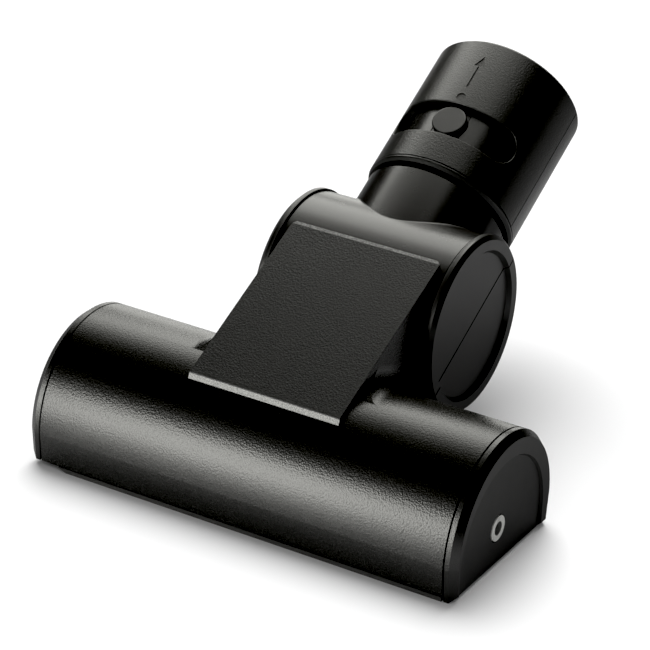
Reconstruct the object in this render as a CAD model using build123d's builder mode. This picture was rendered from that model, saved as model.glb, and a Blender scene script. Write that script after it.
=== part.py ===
from build123d import *
from math import acos, atan2, cos, degrees, hypot, pi, radians, sin, sqrt
import os

os.makedirs("parts", exist_ok=True)

# Frame: X along the brush roll, -Y to the front, +Z up, origin on the floor below the middle of the head

# Hood over the brush roll: an arch section with nearly upright flanks
head_length = 160.0
hood_radius = 32.3
hood_axis_height = 12.0
hood_foot_draw_in = 0.9
hood_rim_height = 1.6
hood_wall = 2.2

# End caps
cap_thickness = 4.4
cap_gap = 0.3
cap_bevel_width = 2.4
cap_bevel_inset = 2.0
cap_panel_radius = 27.0
cap_panel_y = -1.5
cap_panel_z = 9.5
cap_panel_margin = 0.8
cap_panel_depth = 0.9
cap_panel_draft = 35.0
cap_edge = 0.35
cap_hollow_depth = 1.6
cap_spigot_length = 3.0
cap_spigot_wall = 1.6
spigot_clearance = 0.2

# Sole plate and its lip
sole_lip = 0.3
sole_left_inset = 6.8
sole_bevel_run = 3.0
sole_bevel_rise = 1.3
mouth_end_inset = 3.9
mouth_bevel = 0.6
bridge_margin = 0.8
air_groove_pitch = 11.0
air_groove_end_margin = 4.0
air_groove_width = 3.0
air_groove_length = 14.0
air_groove_depth = 0.6
sole_upstand = 0.5
seam = 0.1

# Brush roll and its hollow axle
roll_axis_y = -3.6
roll_axis_z = 14.0
axle_radius = 4.3
axle_bore_radius = 2.3
axle_ring_gap = 0.4
axle_ring_depth = 0.8
axle_stand_out = 0.2
running_clearance = 0.05
core_radius = 7.4
core_bore_radius = 5.4
roll_end_gap = 0.3
bush_length = 8.0
bush_flange_radius = 6.6
bush_flange_thickness = 1.0
bristle_tip_height = 0.4
tuft_radius = 1.3
tuft_root_depth = 1.2
tuft_pitch = 4.4
tuft_end_inset = 6.9
tuft_bridge_gap = 0.4
tuft_lead_angle = 60.0
tuft_row_angles = (20.0, 200.0)

# Roll tunnel in the lower housing
tunnel_clearance = 1.6
tunnel_wall = 1.6
floor_thickness = 2.1
bulkhead_thickness = 2.2

# Neck with its raised plate, beside the middle of the head
neck_offset = -0.5
neck_half_width = 28.0
neck_wall = 2.2
plate_bevel = 1.3
plate_front_y = -15.5
plate_front_rise = 1.4
plate_edge_thickness = 0.9
plate_rear_bevel = 0.6
plate_front_run = 0.9
plate_front_steepness = 2.3
parting_height = 27.0
duct_rear_angle = 144.0
duct_sill = 2.0
flare_radius = 7.0
flare_drop = 3.0

# Drum of the elbow, hinged about an axis along X
drum_y = 61.7
drum_z = 44.9
drum_margin = 4.1
drum_wall = 2.5
disc_margin = 0.7
disc_reach = 6.2
disc_thickness = 3.0
disc_bevel = 1.4
disc_rim_width = 4.9
seam_width = 0.4
disc_recess_depth = 1.5
disc_recess_draft = 1.2
groove_width = 0.7
groove_depth = 0.9
chamber_end_wall = 5.2
cradle_clearance = 0.3
cradle_wall = 2.2
cradle_front_angle = 118.8
cradle_end_angle = 288.0
window_start_angle = 150.0
window_end_angle = 269.0
window_side_clearance = 0.4
keel_inset = 3.4
keel_rear_y = 66.0
keel_end_wall_angle = 6.0
glide_front_y = 37.0
glide_height = hood_rim_height
glide_width = 3.0
glide_inset = 8.0

# Tube of the elbow, rising to the rear at the rest angle
tube_angle = 30.7
neck_tube_step = 1.2
neck_tube_end = 37.5
neck_tube_bevel = 0.4
neck_fillet = 0.8
spigot_wall = 2.4
spigot_end = 76.0

# Cuff round the spigot and the socket for the suction tube
cuff_wall = 2.7
cuff_start = 39.2
cuff_end = 94.9
cuff_clearance = 0.4
cuff_mouth_round = 1.0
cuff_lower_chamfer = 1.4
cuff_groove_at = 41.6
cuff_groove_depth = 0.5
slot_centre = 59.5
slot_width = 13.5
slot_half_angle = 56.0
slot_edge = 0.3
socket_bore_radius = 17.5
socket_wall = 2.2
socket_start = 68.0
socket_flange_at = 76.3
socket_flange_thickness = 3.5
cuff_end_wall = 3.5
snap_rib_at = 73.5
snap_rib_width = 1.2
snap_rib_height = 0.7
felt_start = 71.0
felt_length = 4.0
felt_thickness = 2.1
felt_clearance = 0.05
mark_depth = 0.35
dot_at = 69.2
dot_radius = 1.6
arrow_tail_at = 73.8
arrow_tip_at = 87.6
arrow_line_width = 0.7
arrow_head_length = 4.2
arrow_head_width = 3.8

# Release button on its lever
button_radius = 6.0
button_top_depth = 1.1
lever_half_width = 5.2
lever_thickness = 1.6
lever_clearance = 0.3
lever_pivot_at = 44.6
lever_end = 66.4
lever_start = 43.2
lever_depth = 0.2
pivot_depth = 2.0
pivot_pin_radius = 0.8
pivot_pin_length = 2.0
button_edge = 0.6

# Turbine, its bearings and their carriers
turbine_gap = 3.7
turbine_hub_radius = 6.5
turbine_end_gap = 2.5
turbine_blades = 12
blade_thickness = 1.1
blade_sweep = 34.0
web_thickness = 1.4
thrust_gap = 0.3
shaft_radius = 2.0
shaft_end_gap = 1.0
bearing_outer_radius = 6.5
bearing_width = 5.0
carrier_side_gap = 0.3
carrier_thickness = 2.5
carrier_boss_radius = 9.0
boss_end_gap = 0.6
boss_socket_floor = 1.5
carrier_shaft_hole = 3.0
carrier_arm_top = 40.0
carrier_arm_bend = 27.3
carrier_arm_lower_angle = -72.0
carrier_arm_upper_angle = 112.0
carrier_flange = 8.0
carrier_foot_front = 25.5
carrier_foot_rear = 33.5

# Toothed belt drive
belt_inset = 5.5
belt_width = 5.0
belt_back = 0.9
belt_tooth_height = 0.7
belt_tooth_root = 1.7
belt_flank_angle = 70.0
belt_cord_depth = 0.25
tooth_clearance = 0.12
tooth_pitch = 2.5
belt_teeth = 76
pinion_teeth = 12
pulley_teeth = 24
pulley_width = 6.4
belt_slot_clearance = 1.6

# Fasteners
screw_radius = 1.5
screw_head_radius = 2.7
screw_head_height = 1.1
screw_slot_width = 0.8
post_radius = 3.4
housing_screw_end_inset = 23.3
housing_screw_inset = 7.0
sole_screw_end_inset = 41.3
sole_screw_rear_inset = 8.0
sole_boss_height = 5.0
sole_screw_reach = 6.0
sole_screw_head_bottom = 0.25
post_grip = 9.0
elbow_screw_radius = 1.2
elbow_screw_head_radius = 2.0
elbow_screw_depth = 2.0
elbow_screw_at = 14.0
elbow_screw_head_depth = 22.5
elbow_screw_grip = 10.0
carrier_screw_head_bottom = 2.1
carrier_grip = 2.5

# Worked-out sizes of the head
hood_half_length = head_length / 2 - cap_thickness - cap_gap
hood_inner_radius = hood_radius - hood_wall
hood_foot_half_depth = hood_radius - hood_foot_draw_in
roll_radius = roll_axis_z - bristle_tip_height
tunnel_radius = roll_radius + tunnel_clearance
floor_bottom = hood_rim_height + sole_upstand
floor_top = floor_bottom + floor_thickness
floor_half_depth = hood_foot_half_depth - hood_wall - spigot_clearance
bulkhead_outer = hood_half_length - cap_spigot_length - spigot_clearance
bulkhead_inner = bulkhead_outer - bulkhead_thickness
mouth_half_length = bulkhead_inner - mouth_end_inset
mouth_half_width = tunnel_radius - mouth_bevel
sole_left_end = -(hood_half_length - sole_left_inset)
keel_front_y = hood_foot_half_depth - keel_inset
core_half_length = bulkhead_inner - roll_end_gap - bush_flange_thickness
tuft_span = 2 * (bulkhead_inner - tuft_end_inset)
housing_screw_x = hood_half_length - housing_screw_end_inset
housing_screw_y = hood_foot_half_depth - housing_screw_inset
sole_screw_x = hood_half_length - sole_screw_end_inset
sole_screw_rear_y = keel_front_y - sole_screw_rear_inset
bridge_width = pulley_width + 2 * bridge_margin
air_groove_count = int(2 * (mouth_half_length - air_groove_end_margin) / air_groove_pitch) + 1

# Worked-out sizes of the cuff and tube, outwards from the socket's bore
socket_outer_radius = socket_bore_radius + socket_wall
spigot_bore_radius = socket_outer_radius + felt_thickness
spigot_radius = spigot_bore_radius + spigot_wall
cuff_inner_radius = spigot_radius + cuff_clearance
cuff_radius = cuff_inner_radius + cuff_wall
neck_tube_radius = cuff_radius - neck_tube_step
slot_end_angle = slot_half_angle - degrees(slot_width / 2 / cuff_radius)
lever_radius = spigot_radius - lever_depth
button_top_radius = cuff_radius - button_top_depth
pivot_height = spigot_radius - pivot_depth

# Worked-out sizes of the drum and of the neck that holds it
drum_radius = neck_tube_radius + drum_margin
drum_inner_radius = drum_radius - drum_wall
disc_radius = drum_radius + disc_margin
disc_recess_radius = disc_radius - disc_rim_width
disc_half_span = neck_half_width + disc_reach
chamber_half_width = disc_half_span - chamber_end_wall
cradle_radius = drum_radius + cradle_clearance
cradle_outer_radius = cradle_radius + cradle_wall
plate_distance = cradle_radius + plate_edge_thickness
plate_front_z = hood_axis_height + sqrt((hood_radius + plate_front_rise) ** 2 - plate_front_y**2)
neck_inner_half_width = neck_half_width - neck_wall
glide_spacing = 2 * (neck_half_width - glide_inset)
elbow_screw_x = chamber_half_width + elbow_screw_depth

# Worked-out sizes of the turbine and belt
carrier_inner_face = neck_inner_half_width - carrier_side_gap - carrier_thickness
boss_socket_depth = disc_half_span - disc_recess_depth - boss_socket_floor
carrier_boss_end = boss_socket_depth - boss_end_gap
shaft_half_length = carrier_boss_end - shaft_end_gap
belt_x = carrier_inner_face - belt_inset
turbine_radius = drum_inner_radius - turbine_gap
turbine_left = turbine_end_gap - carrier_inner_face
turbine_right = belt_x - pulley_width / 2 - turbine_end_gap
pulley_pitch_radius = pulley_teeth * tooth_pitch / (2 * pi)
pinion_pitch_radius = pinion_teeth * tooth_pitch / (2 * pi)
axes_distance = hypot(drum_y - roll_axis_y, drum_z - roll_axis_z)
axes_angle = degrees(atan2(drum_z - roll_axis_z, drum_y - roll_axis_y))
belt_reach = belt_back - belt_cord_depth

# Planes: the head's sections lie in YZ, the tube's section holds the tube axis and its upright
drum_axis_point = Vector(neck_offset, drum_y, drum_z)
tube_direction = Vector(0, cos(radians(tube_angle)), sin(radians(tube_angle)))
tube_upright = Vector(0, -sin(radians(tube_angle)), cos(radians(tube_angle)))
tube_section = Plane(origin=drum_axis_point, x_dir=tube_direction, z_dir=(1, 0, 0))
tube_split = Plane(origin=drum_axis_point, x_dir=tube_direction, z_dir=tube_upright)
tube_cross = Plane(origin=drum_axis_point, x_dir=tube_upright, z_dir=tube_direction)
tube_axis = Axis(drum_axis_point, tube_direction)
drum_axis = Axis(drum_axis_point, (1, 0, 0))


def across(x):
    """Section plane at x, with Y to the right and Z up."""
    return Plane.YZ.offset(x)


def roll_plane(x):
    """Section plane at x, centred on the roll axis."""
    return Plane(origin=(x, roll_axis_y, roll_axis_z), x_dir=(0, 1, 0), z_dir=(1, 0, 0))


def drum_plane(x):
    """Section plane at x from the neck's middle, centred on the drum axis."""
    return Plane(origin=(neck_offset + x, drum_y, drum_z), x_dir=(0, 1, 0), z_dir=(1, 0, 0))


def on_drum(radius, angle):
    """Point (Y, Z) at a radius and an angle round the drum axis, counted from +Y towards +Z."""
    return drum_y + radius * cos(radians(angle)), drum_z + radius * sin(radians(angle))


def arch_face(inset, foot, closed_radius=hood_radius):
    """Face of the hood's arch section, inset from its outside, with flanks down to the height foot."""
    radius = closed_radius - inset
    half_depth = hood_foot_half_depth - inset
    top = hood_axis_height
    with BuildSketch() as face:
        with BuildLine():
            Polyline((-radius, top), (-half_depth, foot), (half_depth, foot), (radius, top))
            ThreePointArc((radius, top), (0, top + radius), (-radius, top))
        make_face()
    return face.sketch


def plate_line(y, depth=0.0):
    """Height of the neck's plate at y, less a depth square to it."""
    rear_y, rear_z = on_drum(plate_distance, cradle_front_angle)
    slope = (rear_z - plate_front_z) / (rear_y - plate_front_y)
    return plate_front_z + slope * (y - plate_front_y) - depth * hypot(1, slope)


def neck_profile(inset, front_run):
    """Side face of the neck: under the plate, over the parting, open towards the drum axis."""
    start_y = plate_front_y + inset
    rear_y, rear_z = on_drum(plate_distance - inset, cradle_front_angle)
    lower_y = drum_y - sqrt(cradle_radius**2 - (drum_z - parting_height) ** 2)
    with BuildSketch() as face:
        with BuildLine():
            Polyline(
                (start_y - front_run, plate_line(start_y, inset) - front_run * plate_front_steepness),
                (start_y, plate_line(start_y, inset)),
                (rear_y, rear_z),
                (drum_y, drum_z),
                (lower_y, parting_height),
                (roll_axis_y + roll_radius, parting_height),
                close=True,
            )
        make_face()
    return face.sketch


def tube_radial(angle):
    """Half-section plane of the tube at an angle from its upright towards +X."""
    radial = tube_upright * cos(radians(angle)) + Vector(1, 0, 0) * sin(radians(angle))
    return Plane(origin=drum_axis_point, x_dir=tube_direction, z_dir=tube_direction.cross(radial))


def belt_envelope(margin):
    """Face round both pulleys at their pitch radii plus a margin, in the belt's own plane."""
    with BuildSketch() as face:
        Circle(pulley_pitch_radius + margin)
        with Locations((axes_distance, 0)):
            Circle(pinion_pitch_radius + margin)
        make_hull()
    return face.sketch


def belt_plane(x):
    """Plane at x from the neck's middle, from the roll axis towards the drum axis."""
    return Plane(
        origin=(neck_offset + x, roll_axis_y, roll_axis_z),
        x_dir=(0, cos(radians(axes_angle)), sin(radians(axes_angle))),
        z_dir=(1, 0, 0),
    )


def annular_sector(inner, outer, start, end):
    """Face of a ring between two radii and two angles, centred on its plane's origin."""
    middle = (start + end) / 2
    with BuildSketch() as face:
        Circle(outer)
        Circle(inner, mode=Mode.SUBTRACT)
        with BuildLine():
            reach = 3 * outer
            Polyline(
                (0, 0),
                (reach * cos(radians(start)), reach * sin(radians(start))),
                (reach * cos(radians(middle)), reach * sin(radians(middle))),
                (reach * cos(radians(end)), reach * sin(radians(end))),
                close=True,
            )
        make_face(mode=Mode.INTERSECT)
    return face.sketch


def screw_at(points, head_bottom, shank_top):
    """Slotted screws, one per point (X, Y), heads down, with the given heights of head and tip."""
    with BuildPart() as screws:
        with BuildSketch(Plane.XY.offset(head_bottom)):
            with Locations(*points):
                Circle(screw_head_radius)
        extrude(amount=screw_head_height)
        with BuildSketch(Plane.XY.offset(head_bottom + screw_head_height)):
            with Locations(*points):
                Circle(screw_radius)
        extrude(amount=shank_top - head_bottom - screw_head_height)
        with BuildSketch(Plane.XY.offset(head_bottom)):
            with Locations(*points):
                Rectangle(2 * screw_head_radius, screw_slot_width)
        extrude(amount=screw_head_height / 2, mode=Mode.SUBTRACT)
    return screws


housing_screw_points = [
    (x, y) for x in (-housing_screw_x, housing_screw_x) for y in (-housing_screw_y, housing_screw_y)
]
sole_screw_points = [
    (x, y) for x in (-sole_screw_x, sole_screw_x) for y in (-housing_screw_y, sole_screw_rear_y)
]
carrier_screw_x = carrier_inner_face - carrier_flange / 2
carrier_screw_y = (carrier_foot_front + carrier_foot_rear) / 2
carrier_screw_points = [(neck_offset + side * carrier_screw_x, carrier_screw_y) for side in (-1, 1)]
elbow_screw_points = [(end * elbow_screw_at, side * elbow_screw_x) for end in (-1, 1) for side in (-1, 1)]

# Screw posts under the hood, trimmed to its inside
with BuildPart() as posts:
    with BuildSketch(Plane.XY.offset(floor_top)):
        with Locations(*housing_screw_points):
            Circle(post_radius)
            Circle(screw_radius, mode=Mode.SUBTRACT)
    extrude(amount=hood_radius)
    with BuildSketch(across(-hood_half_length)):
        add(arch_face(hood_wall / 2, hood_rim_height))
    extrude(amount=2 * hood_half_length, mode=Mode.INTERSECT)

# Concave flares between the neck's sides and the hood, limited to the neck's own profile
with BuildPart() as flares:
    with BuildSketch(Plane(origin=(neck_offset, 0, hood_axis_height), x_dir=(1, 0, 0), z_dir=(0, -1, 0))):
        with BuildLine():
            root = neck_half_width - seam
            Polyline(
                (root, hood_inner_radius),
                (root, hood_radius + flare_radius),
                (neck_half_width, hood_radius + flare_radius),
            )
            ThreePointArc(
                (neck_half_width, hood_radius + flare_radius),
                (
                    neck_half_width + flare_radius * (1 - cos(radians(45))),
                    hood_radius + flare_radius * (1 - cos(radians(45))),
                ),
                (neck_half_width + flare_radius, hood_radius),
            )
            Polyline(
                (neck_half_width + flare_radius, hood_radius),
                (neck_half_width + flare_radius, hood_inner_radius),
                (root, hood_inner_radius),
            )
        make_face()
        mirror(about=Plane.YZ)
    revolve(axis=Axis((0, 0, hood_axis_height), (1, 0, 0)))
    with BuildSketch(across(neck_offset - neck_half_width - flare_radius)):
        add(neck_profile(flare_drop, seam))
    extrude(amount=2 * (neck_half_width + flare_radius), mode=Mode.INTERSECT)

# Upper housing: hood, neck and raised plate moulded as one
with BuildPart() as upper_housing:
    with BuildSketch(across(-hood_half_length)):
        add(arch_face(0, hood_rim_height))
    extrude(amount=2 * hood_half_length)
    with BuildSketch(across(neck_offset - neck_half_width)):
        add(neck_profile(0, plate_front_run))
    extrude(amount=2 * neck_half_width)
    with BuildSketch(drum_plane(-neck_half_width)):
        Circle(cradle_radius)
    extrude(amount=2 * neck_half_width, mode=Mode.SUBTRACT)
    plate_face = upper_housing.faces().filter_by(GeomType.PLANE).sort_by(Axis.Z)[-1]
    plate_sides = plate_face.edges().filter_by(
        lambda edge: abs(edge.center().X - neck_offset) > neck_half_width - seam
    )
    chamfer(plate_sides, plate_bevel)
    plate_face = upper_housing.faces().filter_by(GeomType.PLANE).sort_by(Axis.Z)[-1]
    chamfer(plate_face.edges().sort_by(Axis.Y)[-1], plate_rear_bevel)
    add(flares.part)
    with BuildSketch(across(-hood_half_length)):
        add(arch_face(hood_wall, 0))
    extrude(amount=2 * hood_half_length, mode=Mode.SUBTRACT)
    with BuildSketch(across(neck_offset - neck_inner_half_width)):
        with BuildLine():
            duct_front_y = roll_axis_y
            duct_rear = on_drum(cradle_outer_radius, duct_rear_angle)
            Polyline(
                (duct_front_y, parting_height),
                (duct_front_y, plate_line(duct_front_y, neck_wall)),
                duct_rear,
                (drum_y, drum_z),
                (drum_y, 0),
                (duct_front_y, 0),
                close=True,
            )
        make_face()
    extrude(amount=2 * neck_inner_half_width, mode=Mode.SUBTRACT)
    with BuildSketch(across(neck_offset - neck_half_width)):
        with BuildLine():
            Polyline(
                (keel_front_y, 0),
                (keel_front_y, parting_height),
                (drum_y, parting_height),
                (drum_y, 0),
                close=True,
            )
        make_face()
    extrude(amount=2 * neck_half_width, mode=Mode.SUBTRACT)
    add(posts.part)

# Lower housing: floor, roll tunnel, bulkheads, keel under the drum and its glides
with BuildPart() as lower_housing:
    with BuildSketch(Plane.XY.offset(floor_bottom)):
        Rectangle(2 * bulkhead_outer, 2 * floor_half_depth)
    extrude(amount=floor_thickness)
    for side in (-1, 1):
        with BuildSketch(across(side * bulkhead_outer)):
            add(arch_face(hood_wall + spigot_clearance, floor_bottom))
        extrude(amount=-side * bulkhead_thickness)
    with BuildSketch(roll_plane(-bulkhead_outer)):
        Circle(tunnel_radius + tunnel_wall)
    extrude(amount=2 * bulkhead_outer)
    with BuildSketch(roll_plane(-bulkhead_outer)):
        with Locations((0, floor_bottom - roll_axis_z - tunnel_radius)):
            Rectangle(4 * tunnel_radius, 2 * tunnel_radius)
    extrude(amount=2 * bulkhead_outer, mode=Mode.SUBTRACT)
    with BuildSketch(roll_plane(-bulkhead_inner)):
        Circle(tunnel_radius)
        with Locations((0, -tunnel_radius)):
            Rectangle(2 * tunnel_radius, 2 * tunnel_radius)
    extrude(amount=2 * bulkhead_inner, mode=Mode.SUBTRACT)
    with BuildSketch(Plane(origin=(neck_offset, roll_axis_y, roll_axis_z))):
        with Locations((0, tunnel_radius / 2 + duct_sill)):
            Rectangle(2 * (neck_inner_half_width - duct_sill), tunnel_radius + 2 * tunnel_wall)
    extrude(amount=tunnel_radius + 2 * tunnel_wall, mode=Mode.SUBTRACT)
    with BuildSketch(across(neck_offset - neck_half_width)):
        with BuildLine():
            Polyline(
                (keel_front_y, hood_rim_height),
                (keel_front_y, parting_height),
                (drum_y, parting_height),
                (drum_y, drum_z),
                on_drum(cradle_outer_radius, cradle_end_angle),
                (keel_rear_y, hood_rim_height),
                close=True,
            )
        make_face()
    extrude(amount=2 * neck_half_width)
    with BuildSketch(drum_plane(-neck_half_width)):
        Circle(cradle_radius)
    extrude(amount=2 * neck_half_width, mode=Mode.SUBTRACT)
    with BuildSketch(across(neck_offset - neck_inner_half_width)):
        with BuildLine():
            Polyline(
                (keel_front_y - floor_thickness, floor_top),
                (keel_front_y - floor_thickness, parting_height),
                (drum_y - cradle_outer_radius, drum_z),
                (drum_y, drum_z),
                on_drum(cradle_outer_radius + seam, cradle_end_angle - keel_end_wall_angle),
                (keel_rear_y - neck_wall, floor_top),
                close=True,
            )
        make_face()
        with Locations((drum_y, drum_z)):
            Circle(cradle_outer_radius, mode=Mode.SUBTRACT)
    extrude(amount=2 * neck_inner_half_width, mode=Mode.SUBTRACT)
    with BuildSketch(belt_plane(belt_x - pulley_width / 2)):
        add(belt_envelope(belt_reach + belt_slot_clearance))
    extrude(amount=pulley_width, mode=Mode.SUBTRACT)
    with BuildSketch(Plane.XY):
        with Locations((neck_offset, (glide_front_y + keel_rear_y) / 2)):
            with GridLocations(glide_spacing, 0, 2, 1):
                SlotOverall(keel_rear_y - glide_front_y, glide_width, rotation=90)
    extrude(amount=glide_height)
    with BuildSketch(Plane.XY.offset(floor_top)):
        with Locations(*sole_screw_points):
            Circle(post_radius)
    extrude(amount=sole_boss_height)
    with BuildSketch(Plane.XY.offset(hood_rim_height)):
        with Locations(*sole_screw_points):
            Circle(screw_radius)
    extrude(amount=sole_screw_reach, mode=Mode.SUBTRACT)
    with BuildSketch(Plane.XY.offset(floor_bottom)):
        with Locations(*housing_screw_points):
            Circle(screw_head_radius + seam)
    extrude(amount=screw_head_height + seam, mode=Mode.SUBTRACT)
    with BuildSketch(Plane.XY.offset(floor_bottom)):
        with Locations(*housing_screw_points):
            Circle(screw_radius)
    extrude(amount=floor_thickness, mode=Mode.SUBTRACT)
    with BuildSketch(Plane.XY):
        with Locations(*carrier_screw_points):
            Circle(screw_head_radius + seam)
    extrude(amount=carrier_screw_head_bottom + screw_head_height, mode=Mode.SUBTRACT)
    with BuildSketch(Plane.XY):
        with Locations(*carrier_screw_points):
            Circle(screw_radius)
    extrude(amount=floor_top, mode=Mode.SUBTRACT)
    with BuildSketch(roll_plane(-head_length / 2)):
        Circle(axle_radius)
    extrude(amount=head_length, mode=Mode.SUBTRACT)

# Sole plate: slab with the front lip, an upstand inside the hood and the brush mouth either side of the belt
with BuildPart() as sole_plate:
    with BuildSketch(Plane.XY):
        with Locations(((sole_left_end + hood_half_length) / 2, -sole_lip / 2)):
            Rectangle(hood_half_length - sole_left_end, 2 * hood_foot_half_depth + sole_lip)
    extrude(amount=hood_rim_height - seam)
    left_side = sole_plate.faces().sort_by(Axis.X)[0]
    chamfer(left_side.edges().sort_by(Axis.Z)[0], sole_bevel_rise, sole_bevel_run, reference=left_side)
    with BuildSketch(Plane.XY.offset(hood_rim_height - seam)):
        Rectangle(2 * (-sole_left_end), 2 * (keel_front_y - seam))
    extrude(amount=sole_upstand)
    with BuildSketch(Plane.XY):
        with Locations((0, roll_axis_y)):
            Rectangle(2 * mouth_half_length, 2 * mouth_half_width)
        with Locations((neck_offset + belt_x, roll_axis_y)):
            Rectangle(bridge_width, 2 * mouth_half_width, mode=Mode.SUBTRACT)
    extrude(amount=2 * hood_rim_height, mode=Mode.SUBTRACT)
    mouth_edges = sole_plate.faces().sort_by(Axis.Z)[0].inner_wires().edges()
    chamfer(mouth_edges, mouth_bevel)
    with BuildSketch(Plane.XY):
        with Locations(*sole_screw_points):
            Circle(screw_head_radius + seam)
    extrude(amount=sole_screw_head_bottom + screw_head_height, mode=Mode.SUBTRACT)
    with BuildSketch(Plane.XY):
        with Locations(*sole_screw_points):
            Circle(screw_radius)
    extrude(amount=2 * hood_rim_height, mode=Mode.SUBTRACT)
    with BuildSketch(Plane.XY):
        with Locations((0, hood_foot_half_depth)):
            with GridLocations(air_groove_pitch, 0, air_groove_count, 1):
                Rectangle(air_groove_width, air_groove_length)
    extrude(amount=air_groove_depth, mode=Mode.SUBTRACT)

housing_screws = screw_at(housing_screw_points, floor_bottom + seam, floor_top + post_grip)
sole_screws = screw_at(sole_screw_points, sole_screw_head_bottom, hood_rim_height + sole_screw_reach)
carrier_screws = screw_at(carrier_screw_points, carrier_screw_head_bottom, floor_top + carrier_grip)


def end_cap(foot):
    """Right-hand end cap with its bevelled rim, sunk panel and spigot, down to the height foot."""
    inner_face = head_length / 2 - cap_thickness
    with BuildPart() as cap:
        with BuildSketch(across(inner_face)):
            add(arch_face(0, foot))
        extrude(amount=cap_thickness - cap_bevel_width)
        with BuildSketch(across(head_length / 2 - cap_bevel_width)):
            add(arch_face(0, foot))
        with BuildSketch(across(head_length / 2)):
            add(arch_face(cap_bevel_inset, foot + cap_bevel_inset))
        loft()
        chamfer(cap.faces().sort_by(Axis.X)[0].edges(), cap_edge)
        with BuildSketch(across(head_length / 2 - cap_panel_depth)):
            with Locations((cap_panel_y, cap_panel_z)):
                Circle(cap_panel_radius)
            with Locations((cap_panel_y, cap_panel_z / 2 - cap_panel_radius / 2)):
                Rectangle(2 * cap_panel_radius, cap_panel_z + cap_panel_radius)
            add(arch_face(cap_bevel_inset + cap_panel_margin, foot), mode=Mode.INTERSECT)
        extrude(amount=cap_panel_depth, taper=-cap_panel_draft, mode=Mode.SUBTRACT)
        with BuildSketch(across(inner_face)):
            add(arch_face(hood_wall + spigot_clearance + cap_spigot_wall, floor_top + cap_spigot_wall))
        extrude(amount=cap_hollow_depth, mode=Mode.SUBTRACT)
        with BuildSketch(across(inner_face)):
            add(arch_face(hood_wall + spigot_clearance, floor_top + seam))
            add(
                arch_face(hood_wall + spigot_clearance + cap_spigot_wall, floor_top + cap_spigot_wall),
                mode=Mode.SUBTRACT,
            )
        extrude(amount=-cap_spigot_length)
        with BuildSketch(roll_plane(inner_face)):
            Circle(axle_radius + cap_hollow_depth)
        extrude(amount=cap_thickness - cap_panel_depth)
        with BuildSketch(roll_plane(inner_face)):
            Circle(axle_radius)
        extrude(amount=cap_thickness, mode=Mode.SUBTRACT)
        with BuildSketch(roll_plane(head_length / 2 - cap_panel_depth)):
            Circle(axle_radius + axle_ring_gap)
        extrude(amount=-axle_ring_depth, mode=Mode.SUBTRACT)
    return cap


right_end_cap = end_cap(0)
with BuildPart() as left_end_cap:
    add(mirror(end_cap(hood_rim_height).part, about=Plane.YZ, mode=Mode.PRIVATE))

# Hollow steel axle of the roll, pressed into the bulkheads and end caps
with BuildPart() as roll_axle:
    axle_half_length = head_length / 2 - cap_panel_depth + axle_stand_out
    with BuildSketch(roll_plane(-axle_half_length)):
        Circle(axle_radius)
        Circle(axle_bore_radius, mode=Mode.SUBTRACT)
    extrude(amount=2 * axle_half_length)

# Tuft positions: two rows, each a chevron with its point at the middle, left free over the belt's bridge
tuft_count = int(tuft_span / tuft_pitch) + 1
tuft_stations = [(index - (tuft_count - 1) / 2) * tuft_pitch for index in range(tuft_count)]
free_half_width = bridge_width / 2 + tuft_bridge_gap + tuft_radius
tuft_stations = [x for x in tuft_stations if abs(x - neck_offset - belt_x) > free_half_width]


def tuft_rows(row_angle, inner, outer):
    """Radial pegs of one row between two distances from the roll axis."""
    with BuildPart() as pegs:
        for x in tuft_stations:
            turn = row_angle + tuft_lead_angle * abs(2 * x / tuft_span)
            outward = Vector(0, cos(radians(turn)), sin(radians(turn)))
            foot = Vector(x, roll_axis_y, roll_axis_z) + outward * inner
            with BuildSketch(Plane(origin=foot, z_dir=outward)):
                Circle(tuft_radius)
            extrude(amount=outer - inner)
    return pegs


with BuildPart() as brush_core:
    with BuildSketch(roll_plane(-core_half_length)):
        Circle(core_radius)
        Circle(core_bore_radius, mode=Mode.SUBTRACT)
    extrude(amount=2 * core_half_length)
    for angle in tuft_row_angles:
        sockets = tuft_rows(angle, core_radius - tuft_root_depth, core_radius + tuft_radius)
        add(sockets.part, mode=Mode.SUBTRACT)

bristle_tufts_a = tuft_rows(tuft_row_angles[0], core_radius - tuft_root_depth, roll_radius)
bristle_tufts_b = tuft_rows(tuft_row_angles[1], core_radius - tuft_root_depth, roll_radius)


def toothed_wheel(plane, teeth, pitch_radius, bore_radius, width):
    """Timing-belt wheel with trapezoid grooves, one of them on the line of the axes."""
    notch_depth = belt_cord_depth + belt_tooth_height + tooth_clearance
    with BuildPart() as wheel:
        with BuildSketch(plane):
            Circle(pitch_radius - belt_cord_depth)
            Circle(bore_radius, mode=Mode.SUBTRACT)
            with PolarLocations(pitch_radius, teeth):
                Trapezoid(
                    belt_tooth_root + 2 * tooth_clearance,
                    notch_depth,
                    belt_flank_angle,
                    rotation=90,
                    align=(Align.CENTER, Align.MIN),
                    mode=Mode.SUBTRACT,
                )
        extrude(amount=width)
    return wheel


roll_pulley = toothed_wheel(
    belt_plane(belt_x - pulley_width / 2), pulley_teeth, pulley_pitch_radius, core_radius, pulley_width
)
pinion_plane = Plane(
    origin=(neck_offset + belt_x - pulley_width / 2, drum_y, drum_z),
    x_dir=(0, cos(radians(axes_angle)), sin(radians(axes_angle))),
    z_dir=(1, 0, 0),
)


def roll_bush(side):
    """Flanged bush in one end of the roll, turning on the axle."""
    with BuildPart() as bush:
        with BuildSketch(roll_plane(side * (core_half_length - bush_length))):
            Circle(core_bore_radius)
        extrude(amount=side * bush_length)
        with BuildSketch(roll_plane(side * core_half_length)):
            Circle(bush_flange_radius)
        extrude(amount=side * bush_flange_thickness)
        with BuildSketch(roll_plane(-head_length / 2)):
            Circle(axle_radius + running_clearance)
        extrude(amount=head_length, mode=Mode.SUBTRACT)
    return bush


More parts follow.
